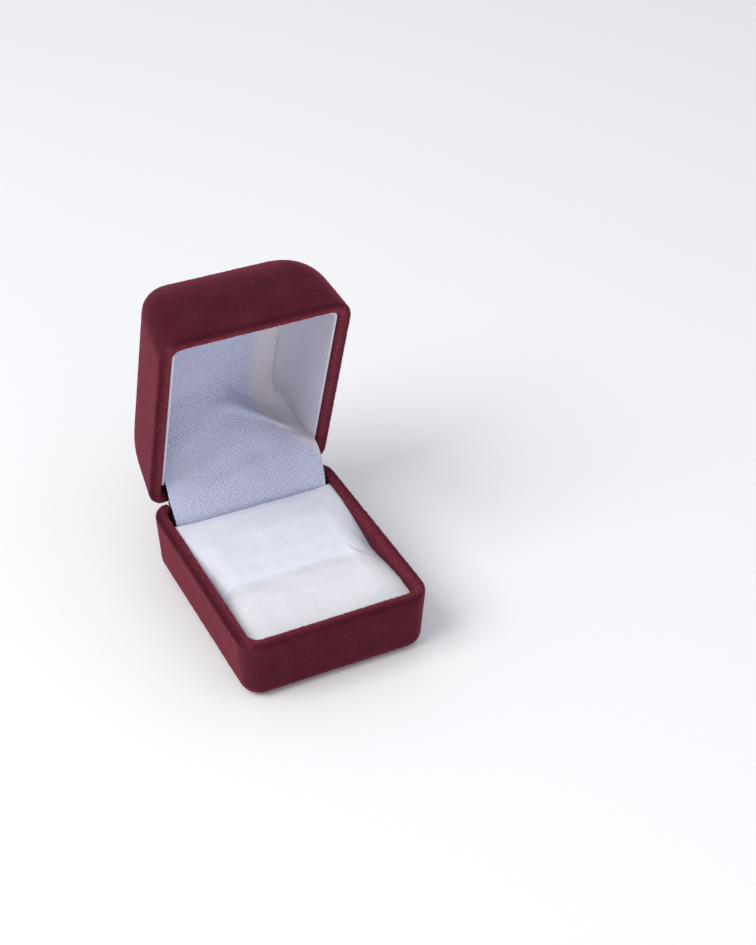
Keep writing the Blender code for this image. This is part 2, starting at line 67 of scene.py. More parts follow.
# Pile of the flock: mesh spacing, jitter of single tufts and height of soft clumps.
PILE_VOXEL = 0.36 * MM
PILE_JITTER = 0.055 * MM
PILE_CLUMP = 0.018 * MM

# Near the rims: the stronger jitter, how far from the seam it reaches, and how far the pile
# may stand over the rim, which leaves room for the other rim when the box is shut. A painted
# highlight on a rim, a lighter colour for the light the rims catch, starts a little inside its
# outer edge and fades in over a width.
RIM_JITTER = 0.08 * MM
RIM_BAND = 1.1 * MM
RIM_PILE = 0.08 * MM
RIM_PAINTED_LIGHT_START = 0.3 * MM
RIM_PAINTED_LIGHT_WIDTH = 2.2 * MM

# Single fibres that stand out of the pile: how many to the square millimetre, their size, how
# much they lean, and how deep they root.
FIBRES_ON_WALLS = 3.0
FIBRES_ON_RIMS = 40.0
FIBRE_LENGTH = 0.48 * MM
FIBRE_WIDTH = 0.07 * MM
FIBRE_LEAN = 0.45
FIBRE_ROOT = 0.1 * MM

# Sizes of the box that the soft pieces share.
OUTER_HALF_WIDTH = 24.0 * MM
OUTER_HALF_DEPTH = 30.3 * MM
INNER_HALF_WIDTH = 21.0 * MM
INNER_HALF_DEPTH = 27.3 * MM
SEAM_HEIGHT = 16.65 * MM
HINGE = Vector(frame["joints"][0]["pos_m"])
OPEN_ANGLE = math.radians(72.5)

# Ring pad: mesh spacing, gap to the walls, back edge, slope beside the walls, rounding of its
# outer ends, rows of points down its sides, and the least room over the foam.
PAD_GRID = 0.4 * MM
PAD_GAP = 0.1 * MM
PAD_BACK = 20.9 * MM
PAD_SLOPE = 7 * MM
PAD_ROLL = 0.7 * MM
PAD_SIDE_ROWS = 5
FOAM_ROOM = 0.25 * MM

# Ring slot: its place, how far the front half tucks under the back one, how much lower it lies
# there, and how far forward it slopes down to that. The last two are plain millimetres: where
# across the box the step starts to fade, and over how far.
SLOT_Y = -6.0 * MM
SLOT_TUCK = 0.4 * MM
SLOT_STEP = 0.55 * MM
SLOT_REACH = 5 * MM
STEP_FADE_FROM = 11
STEP_FADE_OVER = 5

# Satin: its thickness.
SATIN_THICKNESS = 0.22 * MM

# Satin, in plain millimetres as its curves below are: half the width of the flap over the
# hinge, and how far the sides reach behind the liners. Each curve has a number of steps from
# one point to the next, and so has the way across from one curve to the next.
FLAP_HALF_WIDTH = 19.8
TUCK = 0.3
STEPS_ALONG = 12
STEPS_ACROSS = 28

# Folds of the flap in plain millimetres: place across, distance along the cloth, and depth,
# which is negative for the ridge. All share one slant, half width and half length.
FOLDS = ((-6.5, 16.8, 0.6), (4.5, 19.2, 0.6), (0.0, 15.4, -0.35))
FOLD_SLANT = (0.93, 0.37)
FOLD_HALF_WIDTH = 1.9
FOLD_HALF_LENGTH = 4.5

# Weave in millimetres of flat cloth: spacing of the rows of floats and of the slanting lines.
ROW_SPACING = 0.50
LINE_SPACING = 0.74

# Painted shade on the cloth by the right liner, where the lid's roof shades it, in millimetres of
# flat cloth: the distance along it where the strip is widest, how fast its edge moves out before
# that, its edge there, and its soft border.
PAINTED_SHADE_CREST = 33.0
PAINTED_SHADE_TAPER = 0.72
PAINTED_SHADE_EDGE = 8.0
PAINTED_SHADE_BORDER = 4.5


# ---------------------------------------------------------------- camera, floor and light

def make_camera():
    """Camera at the angle and distance of a tabletop product shot."""
    forward = Vector(CAMERA_FORWARD).normalized()
    right = Vector(CAMERA_RIGHT).normalized()
    up = right.cross(forward)
    camera = bpy.data.objects.new("camera", bpy.data.cameras.new("camera"))
    camera.data.lens = LENS
    camera.data.sensor_width = 36.0
    camera.data.clip_start = 0.01
    camera.data.clip_end = 20.0
    turn = Matrix((right, up, -forward)).transposed().to_4x4()
    camera.matrix_world = Matrix.Translation(CAMERA_AT) @ turn
    bpy.context.scene.collection.objects.link(camera)
    bpy.context.scene.camera = camera


def make_light(name, at, size, power, colour):
    """Square soft light that points at the box."""
    light = bpy.data.objects.new(name, bpy.data.lights.new(name, "AREA"))
    light.data.size = size
    light.data.energy = power
    light.data.color = colour
    light.location = at
    light.rotation_euler = (Vector((0, 0, 0.02)) - Vector(at)).to_track_quat("-Z", "Y").to_euler()
    bpy.context.scene.collection.objects.link(light)


def make_studio():
    world = bpy.data.worlds.new("studio")
    world.use_nodes = True
    background = world.node_tree.nodes["Background"]
    background.inputs["Color"].default_value = (0.90, 0.93, 1.0, 1.0)
    background.inputs["Strength"].default_value = 0.66
    scene = bpy.context.scene
    scene.world = world
    scene.view_settings.view_transform = "Standard"
    make_light("key_left", (-0.64, -0.06, 0.74), 0.60, 5.35, (1.0, 0.98, 0.96))
    make_light("low_front", (0.00, -0.84, 0.10), 0.50, 1.95, (0.96, 0.97, 1.0))
    corners = [(x, y, -0.1 * MM) for y in (-3, 3) for x in (-3, 3)]
    floor = mesh_object("floor", corners, grid_faces(2, 2))
    floor.data.materials.append(floor_look())


# ---------------------------------------------------------------- mesh tools

def new_object(name, mesh):
    made = bpy.data.objects.new(name, mesh)
    bpy.context.scene.collection.objects.link(made)
    mesh.shade_smooth()
    return made


def mesh_object(name, points, faces):
    mesh = bpy.data.meshes.new(name)
    mesh.from_pydata([tuple(p) for p in points], [], faces)
    mesh.validate()
    return new_object(name, mesh)


def grid_faces(columns, rows):
    """Quads between the points of a grid that are listed row by row."""
    faces = []
    for j in range(rows - 1):
        for i in range(columns - 1):
            a = j * columns + i
            faces.append((a, a + 1, a + columns + 1, a + columns))
    return faces


def points_of(mesh):
    points = np.zeros(len(mesh.vertices) * 3, np.float32)
    mesh.vertices.foreach_get("co", points)
    return points.reshape(-1, 3).astype(float)


def normals_of(mesh):
    normals = np.zeros(len(mesh.vertices) * 3, np.float32)
    mesh.vertex_normals.foreach_get("vector", normals)
    return normals.reshape(-1, 3).astype(float)


def set_points(mesh, points):
    mesh.vertices.foreach_set("co", points.astype(np.float32).ravel())
    mesh.update()


def smooth_step(t):
    """0 below 0, 1 above 1 and an even S between them."""
    t = np.clip(t, 0, 1)
    return t * t * (3 - 2 * t)


def value_noise(points, size, seed):
    """Smooth random field from -1 to 1 with features about as large as size."""
    table = np.random.default_rng(seed).uniform(-1, 1, 8192)
    cell = np.floor(points / size).astype(np.int64)
    part = points / size - cell
    part = part * part * (3 - 2 * part)
    total = np.zeros(len(points))
    for corner in range(8):
        step = np.array([corner & 1, corner >> 1 & 1, corner >> 2 & 1])
        weight = np.prod(np.where(step == 1, part, 1 - part), axis=1)
        index = (cell + step) @ np.array([73856093, 19349663, 83492791]) % len(table)
        total += weight * table[index]
    return total


def relax(points, edges, rounds):
    """Moves each point halfway to the mean of its neighbours, several times."""
    count = np.bincount(edges.ravel(), minlength=len(points))[:, None]
    for _ in range(rounds):
        total = np.zeros_like(points)
        for k in range(3):
            total[:, k] += np.bincount(edges[:, 0], points[edges[:, 1], k], len(points))
            total[:, k] += np.bincount(edges[:, 1], points[edges[:, 0], k], len(points))
        points = (points + total / count) / 2
    return points


def edges_of(mesh):
    edges = np.zeros(len(mesh.edges) * 2, np.int32)
    mesh.edges.foreach_get("vertices", edges)
    return edges.reshape(-1, 2)


def remeshed(name, node, voxel):
    """Even, dense copy of a CAD node's surface as a new object."""
    copy = bpy.data.objects.new(name, frame["nodes"][node].data.copy())
    bpy.context.scene.collection.objects.link(copy)
    weld = copy.modifiers.new("weld", "WELD")
    weld.merge_threshold = 1e-6
    modifier = copy.modifiers.new("even", "REMESH")
    modifier.mode = "VOXEL"
    modifier.voxel_size = voxel
    bpy.context.view_layer.update()
    graph = bpy.context.evaluated_depsgraph_get()
    mesh = bpy.data.meshes.new_from_object(copy.evaluated_get(graph))
    bpy.data.objects.remove(copy)
    mesh.name = name
    mesh.materials.clear()
    return new_object(name, mesh)


def joined(pieces):
    """Makes the objects one, under the first one's name."""
    with bpy.context.temp_override(active_object=pieces[0], selected_editable_objects=pieces):
        bpy.ops.object.join()


def surface_of(node):
    """Search tree of a CAD node's surface."""
    data = frame["nodes"][node].data
    faces = [tuple(polygon.vertices) for polygon in data.polygons]
    return BVHTree.FromPolygons([vertex.co for vertex in data.vertices], faces)


def nearest_on(node, points):
    """The nearest point of a CAD node's surface to each point."""
    tree = surface_of(node)
    return np.array([tree.find_nearest(Vector(p))[0] for p in points])


# ---------------------------------------------------------------- materials

def new_look(name, colour, roughness, **sockets):
    made = bpy.data.materials.new(name)
    made.use_nodes = True
    shader = made.node_tree.nodes["Principled BSDF"]
    shader.inputs["Base Color"].default_value = (*colour, 1.0)
    shader.inputs["Roughness"].default_value = roughness
    for socket, value in sockets.items():
        shader.inputs[socket.replace("_", " ")].default_value = value
    return made


def add_node(look, kind, links=(), **values):
    """New node; values are properties or input values by name, links are (input, output socket)."""
    tree = look.node_tree
    node = tree.nodes.new(f"ShaderNode{kind}")
    for name, value in values.items():
        if name in node.bl_rna.properties:
            setattr(node, name, value)
        else:
            node.inputs[name.replace("_", " ")].default_value = value
    for target, source in links:
        tree.links.new(node.inputs[target], source)
    return node


def mix_colours(look, factor, low, high):
    """Colour ramp from low to high over a factor from 0 to 1."""
    ramp = add_node(look, "ValToRGB", [("Fac", factor)])
    ramp.color_ramp.elements[0].color = (*low, 1.0)
    ramp.color_ramp.elements[1].color = (*high, 1.0)
    return ramp


def blended(look, first, second, factor=None, blend_type="MIX"):
    """Colour output of two colours mixed or multiplied, in full or by a factor from 0 to 1."""
    mix = add_node(look, "Mix", data_type="RGBA", blend_type=blend_type)
    mix.inputs["Factor"].default_value = 1.0
    if factor:
        look.node_tree.links.new(mix.inputs["Factor"], factor)
    colours = [socket for socket in mix.inputs if socket.type == "RGBA"]
    look.node_tree.links.new(colours[0], first)
    look.node_tree.links.new(colours[1], second)
    return next(socket for socket in mix.outputs if socket.type == "RGBA")


def noise(look, coordinates, size, detail=2.0, roughness=0.5):
    """Output of a noise with features about as large as size."""
    texture = add_node(
        look, "TexNoise", [("Vector", coordinates)],
        Scale=1.0 / size, Detail=detail, Roughness=roughness,
    )
    return texture.outputs["Fac"]


def math_node(look, operation, *inputs):
    """Output of a Math node whose inputs are sockets or numbers."""
    node = add_node(look, "Math", operation=operation)
    for socket, value in zip(node.inputs, inputs):
        if isinstance(value, (int, float)):
            socket.default_value = value
        else:
            look.node_tree.links.new(socket, value)
    return node.outputs[0]


def weighted_sum(look, first, share, second, other):
    """Output of first times share plus second times other."""
    scaled = math_node(look, "MULTIPLY", first, share)
    return math_node(look, "MULTIPLY_ADD", second, other, scaled)


def object_coordinates(look):
    return add_node(look, "TexCoord").outputs["Object"]


def set_surface(look, colour, normal=None):
    shader = look.node_tree.nodes["Principled BSDF"]
    look.node_tree.links.new(shader.inputs["Base Color"], colour)
    if normal:
        look.node_tree.links.new(shader.inputs["Normal"], normal)


def bump(look, height, distance, strength):
    node = add_node(look, "Bump", [("Height", height)], Distance=distance, Strength=strength)
    return node.outputs["Normal"]


def floor_look():
    """Pale matt floor with a barely visible grain."""
    look = new_look("pale_floor", (0.98, 0.98, 0.97), 0.8)
    grain = noise(look, object_coordinates(look), 3 * MM)
    tone = mix_colours(look, grain, (0.975, 0.975, 0.965), (0.99, 0.99, 0.98))
    set_surface(look, tone.outputs["Color"])
    return look


def flock_look():
    """Matt burgundy pile: fine tufts, faint brushed patches, a soft sheen at grazing angles, and a
    painted highlight: a lighter, grainier colour on the rims.
    """
    look = new_look(
        "burgundy_flock", (0.08, 0.012, 0.022), 0.95, Sheen_Weight=0.48, Sheen_Roughness=0.42,
        Sheen_Tint=(0.82, 0.165, 0.23, 1.0), Specular_IOR_Level=0.08,
    )
    where = object_coordinates(look)
    tufts = noise(look, where, 0.30 * MM, 3.0, 0.7)
    brushed = noise(look, where, 6.0 * MM, 2.0, 0.5)
    blend = weighted_sum(look, tufts, 0.75, brushed, 0.25)
    wall = mix_colours(look, blend, (0.018, 0.0016, 0.0040), (0.108, 0.0155, 0.029))
    grain = noise(look, where, 0.50 * MM, 2.0, 0.6)
    # Painted highlight: the lighter colour of the rims, for the light they catch.
    rim = mix_colours(look, grain, (0.055, 0.0055, 0.0115), (0.260, 0.044, 0.070))
    for tone, reach in ((wall, 0.25), (rim, 0.24)):
        tone.color_ramp.elements[0].position = 0.5 - reach
        tone.color_ramp.elements[1].position = 0.5 + reach
    # The painted rim highlight is mixed in over the wall colour by a point attribute.
    painted_rim_light = add_node(look, "Attribute", attribute_name="painted_rim_light").outputs["Fac"]
    tone = blended(look, wall.outputs["Color"], rim.outputs["Color"], painted_rim_light)
    set_surface(look, tone, bump(look, tufts, 0.12 * MM, 0.7))
    return look


def velour_look(name, low, high):
    """White nap with soft mottling and a few specks of lint."""
    look = new_look(name, high, 0.95, Sheen_Weight=0.25, Sheen_Roughness=0.5, Specular_IOR_Level=0.1)
    where = object_coordinates(look)
    nap = noise(look, where, 0.35 * MM, 3.0, 0.6)
    mottle = noise(look, where, 1.3 * MM, 2.0, 0.6)
    patches = weighted_sum(look, noise(look, where, 8.0 * MM, 2.0, 0.5), 0.6, mottle, 0.4)
    tone = mix_colours(look, patches, low, high)
    tone.color_ramp.elements[0].position = 0.3
    tone.color_ramp.elements[1].position = 0.7
    spots = noise(look, where, 1.1 * MM, 3.0, 0.6)
    lint = mix_colours(look, spots, (1.0, 1.0, 1.0), (0.86, 0.86, 0.90))
    lint.color_ramp.elements[0].position = 0.66
    lint.color_ramp.elements[1].position = 0.76
    specked = blended(
        look, tone.outputs["Color"], lint.outputs["Color"], blend_type="MULTIPLY"
    )
    set_surface(look, specked, bump(look, nap, 0.10 * MM, 0.5))
    return look


def wave(look, places, period):
    """Ripple from 0 to 1 that repeats once a period."""
    ripple = math_node(look, "SINE", math_node(look, "MULTIPLY", places, 2 * math.pi / period))
    return math_node(look, "MULTIPLY_ADD", ripple, 0.5, 0.5)


def painted_corner_shade(look, x, along):
    """1 on the cloth beside the right liner, where shade is painted, and 0 away from it.

    The painted shade widens with the distance along the cloth, up to its crest."""
    short = math_node(look, "MAXIMUM", math_node(look, "SUBTRACT", PAINTED_SHADE_CREST, along), 0.0)
    edge = math_node(look, "MULTIPLY_ADD", short, PAINTED_SHADE_TAPER, PAINTED_SHADE_EDGE)
    depth = math_node(look, "DIVIDE", math_node(look, "SUBTRACT", x, edge), PAINTED_SHADE_BORDER)
    eased = add_node(look, "MapRange", [("Value", depth)], interpolation_type="SMOOTHSTEP")
    return eased.outputs["Result"]


def satin_look():
    """White satin whose twill shows as rows of short floats crossed by slanting lines; the bright
    floats are partly the weave's pattern and partly painted glints.

    Its places and sizes are in millimetres on the flat cloth."""
    look = new_look("white_satin", (0.55, 0.57, 0.69), 0.45, Sheen_Weight=0.1, Specular_IOR_Level=0.4)
    uv = add_node(look, "UVMap", uv_map="cloth").outputs["UV"]
    sway = noise(look, uv, 2.6, 2.0, 0.5)
    parts = add_node(look, "SeparateXYZ", [("Vector", uv)])
    along = math_node(look, "MULTIPLY_ADD", sway, 0.7, parts.outputs["Y"])
    slant = math_node(look, "MULTIPLY_ADD", along, -0.70, parts.outputs["X"])
    rows = wave(look, along, ROW_SPACING)
    lines = wave(look, slant, LINE_SPACING)
    weave = weighted_sum(look, rows, 0.5, lines, 0.5)
    stretched = add_node(look, "Mapping", [("Vector", uv)], Scale=(0.55, 1.5, 1.0)).outputs["Vector"]
    floats = noise(look, stretched, 0.42, 2.0, 0.7)
    # Painted glints: the floats run far lighter than the cloth between them, partly the weave's own
    # pattern and partly the light they catch.
    blend = weighted_sum(look, weave, 0.32, floats, 0.68)
    cloth = mix_colours(look, blend, (0.30, 0.31, 0.42), (0.72, 0.74, 0.92))
    cloth.color_ramp.elements[0].position = 0.32
    cloth.color_ramp.elements[1].position = 0.74
    # Painted shade: a warm grey mixed in beside the right liner, where the lid's roof shades the cloth.
    wear_and_painted_shade = mix_colours(look, floats, (0.58, 0.53, 0.56), (0.66, 0.61, 0.64))
    painted_shade = painted_corner_shade(look, parts.outputs["X"], parts.outputs["Y"])
    tone = blended(look, cloth.outputs["Color"], wear_and_painted_shade.outputs["Color"], painted_shade)
    set_surface(look, tone, bump(look, weave, 0.04 * MM, 0.5))
    return look


def card_look():
    """Coated white card with faint clouding and fibres."""
    look = new_look("white_card", (0.60, 0.59, 0.66), 0.55, Specular_IOR_Level=0.35)
    where = object_coordinates(look)
    fibres = noise(look, where, 0.5 * MM, 4.0, 0.7)
    tone = mix_colours(look, noise(look, where, 9 * MM), (0.58, 0.57, 0.64), (0.63, 0.62, 0.69))
    set_surface(look, tone.outputs["Color"], bump(look, fibres, 0.02 * MM, 0.4))
    return look


def steel_look(name, colour, roughness):
    """Painted or bare steel with a fine grain and lighter worn spots."""
    look = new_look(name, colour, roughness, Metallic=0.8)
    where = object_coordinates(look)
    grain = noise(look, where, 0.6 * MM, 4.0, 0.7)
    wear_and_painted_shade = mix_colours(look, grain, colour, tuple(2.2 * c for c in colour))
    set_surface(look, wear_and_painted_shade.outputs["Color"], bump(look, grain, 0.02 * MM, 0.4))
    return look


def foam_look():
    """Off-white foam with small cells."""
    look = new_look("pad_foam", (0.82, 0.80, 0.74), 0.9)
    where = object_coordinates(look)
    cells = add_node(look, "TexVoronoi", [("Vector", where)], Scale=1 / (0.6 * MM)).outputs["Distance"]
    tone = mix_colours(look, cells, (0.88, 0.86, 0.80), (0.66, 0.63, 0.56))
    set_surface(look, tone.outputs["Color"], bump(look, cells, 0.1 * MM, 0.6))
    return look


# ---------------------------------------------------------------- flocked shells

def above_seam(points, body):
    """Height of each point above the plane of the rims, in the body's own shut direction."""
    if body == "base":
        return points[:, 2] - SEAM_HEIGHT
    s, c = math.sin(OPEN_ANGLE), math.cos(OPEN_ANGLE)
    return s * (points[:, 1] - HINGE.y) + c * (points[:, 2] - HINGE.z) + HINGE.z - SEAM_HEIGHT


def near_seam(height, reach):
    """1 close to the seam, fading to 0 at reach times the rim band away from it."""
    return smooth_step(reach - np.abs(height) / RIM_BAND)


def painted_rim_light_share(points, body):
    """Share of the painted highlight on the rims: 1 on a rim, 0 off it and at its outer edge."""
    along = points[:, 1]
    if body == "lid":
        s, c = math.sin(OPEN_ANGLE), math.cos(OPEN_ANGLE)
        along = HINGE.y + c * (points[:, 1] - HINGE.y) - s * (points[:, 2] - HINGE.z)
    edge = np.minimum(OUTER_HALF_WIDTH - np.abs(points[:, 0]), OUTER_HALF_DEPTH - np.abs(along))
    on_rim = near_seam(above_seam(points, body), 1.6)
    return on_rim * smooth_step((edge - RIM_PAINTED_LIGHT_START) / RIM_PAINTED_LIGHT_WIDTH)


def fibres_on(points, triangles, near_rim, rng):
    """Corners of thin three-sided fibres that stand on the triangles, three to a fibre."""
    a, b, c = (points[triangles[:, k]] for k in range(3))
    cross = np.cross(b - a, c - a)
    area = np.linalg.norm(cross, axis=1) / 2
    share = near_rim[triangles].mean(axis=1)
    density = (FIBRES_ON_WALLS + (FIBRES_ON_RIMS - FIBRES_ON_WALLS) * share) / MM ** 2
    chosen = np.repeat(np.arange(len(triangles)), rng.poisson(area * density))
    p, q = rng.random((2, len(chosen), 1))
    over = p + q > 1
    p, q = np.where(over, 1 - p, p), np.where(over, 1 - q, q)
    root = a[chosen] + p * (b - a)[chosen] + q * (c - a)[chosen]
    normal = (cross / (2 * area[:, None] + 1e-18))[chosen]
    lean = normal + rng.normal(0, FIBRE_LEAN, root.shape)
    lean /= np.linalg.norm(lean, axis=1)[:, None]
    side = np.cross(lean, rng.normal(0, 1, root.shape))
    side *= FIBRE_WIDTH / 2 / np.linalg.norm(side, axis=1)[:, None]
    length = FIBRE_LENGTH * rng.uniform(0.5, 1.0, (len(chosen), 1)) * (0.5 + 0.5 * share[chosen, None])
    root -= FIBRE_ROOT * normal
    return np.stack([root - side, root + side, root + lean * length], axis=1).reshape(-1, 3)


def within_room(points, body, rim):
    """The points pressed back off the floor and off the other rim, which is close by when shut."""
    over = above_seam(points, body) - rim
    if body == "base":
        points[:, 2] = np.maximum(points[:, 2] - np.maximum(over - RIM_PILE, 0), 0)
        return points
    upward = np.array([0, math.sin(OPEN_ANGLE), math.cos(OPEN_ANGLE)])
    return points + np.maximum(-RIM_PILE - over, 0)[:, None] * upward


def make_flocked(name, node, body, look, seed):
    """Dense copy of a shell whose points stand up unevenly, with single fibres, as flock does."""
    shell = remeshed(name, node, PILE_VOXEL)
    mesh = shell.data
    edges = edges_of(mesh)
    height = above_seam(points_of(mesh), body)
    rim = height.max() if body == "base" else height.min()
    # The even mesh is stepped, so it is smoothed and drawn back to the CAD surface.
    points = relax(points_of(mesh), edges, 4)
    on_surface = nearest_on(node, points)
    points = relax(0.2 * points + 0.8 * on_surface, edges, 2)
    set_points(mesh, points)
    rng = np.random.default_rng(seed)
    near_rim = near_seam(above_seam(points, body), 1.5)
    tufts = rng.normal(0, 0.5, len(points)) * (PILE_JITTER + (RIM_JITTER - PILE_JITTER) * near_rim)
    clumps = PILE_CLUMP * value_noise(points, 0.9 * MM, seed + 1)
    points += normals_of(mesh) * (tufts + clumps)[:, None]
    points = within_room(points, body, rim)
    set_points(mesh, points)
    mesh.calc_loop_triangles()
    triangles = np.zeros(len(mesh.loop_triangles) * 3, np.int32)
    mesh.loop_triangles.foreach_get("vertices", triangles)
    corners = within_room(fibres_on(points, triangles.reshape(-1, 3), near_rim, rng), body, rim)
    pile = mesh_object(f"{name}_fibres", corners, np.arange(len(corners)).reshape(-1, 3).tolist())
    # Both pieces carry the share of the painted rim highlight as a point attribute.
    for made in (mesh, pile.data):
        made.materials.append(look)
        share = painted_rim_light_share(points_of(made), body)
        shade = made.attributes.new("painted_rim_light", "FLOAT", "POINT")
        shade.data.foreach_set("value", share.astype(np.float32))
    joined([shell, pile])
    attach(shell, body)
    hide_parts(node)


# ---------------------------------------------------------------- ring pad

def pad_edge_height(y):
    """Height where the pad meets the side walls, along the box."""
    at = np.array([-27.0, -23.3, -18.7, -13.6, -8.3, -4.0, -1.8, 2.7, 8.3, 14.0, 20.0]) * MM
    high = np.array([13.4, 13.7, 13.9, 13.4, 12.6, 12.0, 12.3, 13.5, 14.7, 15.5, 15.6]) * MM
    return np.interp(y, at, high)


def pad_crown_height(y):
    """Height of the pad's middle, along the box."""
    at = np.array([-27.0, -24.0, -20.0, -14.0, -8.5, -6.0, -3.5, 2.0, 10.0, 18.0, 20.9]) * MM
    high = np.array([13.9, 14.6, 15.2, 15.5, 15.2, 14.9, 15.5, 16.0, 16.3, 15.8, 15.0]) * MM
    return np.interp(y, at, high)


def crease(x, y, start, end, width):
    """1 along a short straight crease, falling to 0 about a width away from it."""
    spot = np.stack([x, y], axis=1) - start
    line = np.array(end) - start
    length = np.linalg.norm(line)
    along = spot @ line / length
    across = np.cross(line / length, spot)
    beyond = np.maximum(np.maximum(-along, along - length), 0)
    return np.exp(-(across / width) ** 2 - (beyond / (2 * width)) ** 2)


def pad_top(x, y):
    """Height of the pad's top, with its crown, smooth unevenness and three creases."""
    room = INNER_HALF_WIDTH - np.abs(x)
    side = smooth_step(room / PAD_SLOPE) ** 0.6
    height = pad_edge_height(y) + (pad_crown_height(y) - pad_edge_height(y)) * side
    spot = np.stack([x, y, np.zeros_like(x)], axis=1)
    height += 0.22 * MM * value_noise(spot, 9 * MM, 11)
    height += 0.07 * MM * value_noise(spot, 3.2 * MM, 12)
    height += 0.03 * MM * value_noise(spot, 1.1 * MM, 13)
    height += 0.22 * MM * crease(x, y, (14.2 * MM, -4.6 * MM), (15.6 * MM, -6.6 * MM), 0.6 * MM)
    height -= 0.18 * MM * crease(x, y, (15.2 * MM, -4.2 * MM), (18.0 * MM, -6.8 * MM), 0.8 * MM)
    height += 0.16 * MM * crease(x, y, (-3.0 * MM, -12.2 * MM), (0.5 * MM, -15.6 * MM), 0.5 * MM)
    return height


def lift_over(foam, x, y, z, rows, columns):
    """Smoothed rise that keeps the cover's grid of points just clear of the foam under it."""
    lift = np.zeros(len(z))
    for i in range(len(z)):
        hit = foam.ray_cast(Vector((x[i], y[i], 1)), Vector((0, 0, -1)))[0]
        if hit:
            lift[i] = max(0, hit.z + FOAM_ROOM - z[i])
    lift = lift.reshape(rows, columns)
    for _ in range(12):
        ends = np.pad(lift, 1, mode="edge")
        around = ends[:-2, 1:-1] + ends[2:, 1:-1] + ends[1:-1, :-2] + ends[1:-1, 2:]
        lift = (lift + around / 4) / 2
    return lift.ravel()


def roll_down(gap, radius):
    """Drop of a rounded edge at a distance inside it."""
    share = 1 - np.clip(gap / radius, 0, 1)
    return radius * (1 - np.sqrt(1 - share ** 2))


def make_pad_half(word, front_y, back_y, look):
    """One half of the pad: a crowned top that rolls down into the slot and the walls."""
    half_x = INNER_HALF_WIDTH - PAD_GAP
    columns = int(2 * half_x / PAD_GRID)
    rows = int((back_y - front_y) / PAD_GRID)
    node = f"pad_cover_{word}"
    low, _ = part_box(node)
    across = np.linspace(-half_x, half_x, columns)
    along = np.linspace(front_y, back_y, rows)
    x, y = (a.ravel() for a in np.meshgrid(across, along))
    z = pad_top(x, y)
    z += lift_over(surface_of(f"pad_foam_{word}"), x, y, z, rows, columns)
    # 1 along most of the slot, fading to 0 towards the right wall, where the halves run together.
    step = 1 - smooth_step((x / MM - STEP_FADE_FROM) / STEP_FADE_OVER)
    if word == "front":
        z -= SLOT_STEP * step * smooth_step(1 - (back_y - y) / SLOT_REACH)
        z -= roll_down(y - front_y, PAD_ROLL)
    else:
        z -= roll_down(y - front_y, (0.1 + 0.25 * step) * MM) + roll_down(back_y - y, PAD_ROLL)
    top = np.stack([x, y, z], axis=1)
    index = np.arange(rows * columns).reshape(rows, columns)
    rim = np.concatenate([index[0, :-1], index[:-1, -1], index[-1, :0:-1], index[:0:-1, 0]])
    points = list(top)
    faces = grid_faces(columns, rows)
    before = rim
    for k in range(1, PAD_SIDE_ROWS + 1):
        ring = top[rim].copy()
        ring[:, 2] += (low.z - ring[:, 2]) * k / PAD_SIDE_ROWS
        start = len(points)
        points += list(ring)
        after = np.arange(start, start + len(rim))
        for i in range(len(rim)):
            j = (i + 1) % len(rim)
            faces.append((before[j], before[i], after[i], after[j]))
        before = after
    faces.append([int(i) for i in reversed(before)])
    faces = [[int(i) for i in face] for face in faces]
    piece = mesh_object(f"velour_{node}", points, faces)
    piece.data.materials.append(look)
    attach(piece, "base")
    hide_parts(node)


def make_pad():
    # Painted light: the two halves are one white velour in two copies, the back one painted bluer and
    # lighter than the front.
    front = velour_look("white_velour_front", (0.74, 0.74, 0.775), (0.82, 0.82, 0.845))
    back = velour_look("white_velour_back", (0.74, 0.755, 0.82), (0.82, 0.835, 0.90))
    make_pad_half("front", -INNER_HALF_DEPTH + PAD_GAP, SLOT_Y + SLOT_TUCK, front)
    make_pad_half("back", SLOT_Y, PAD_BACK, back)


# ---------------------------------------------------------------- satin lining

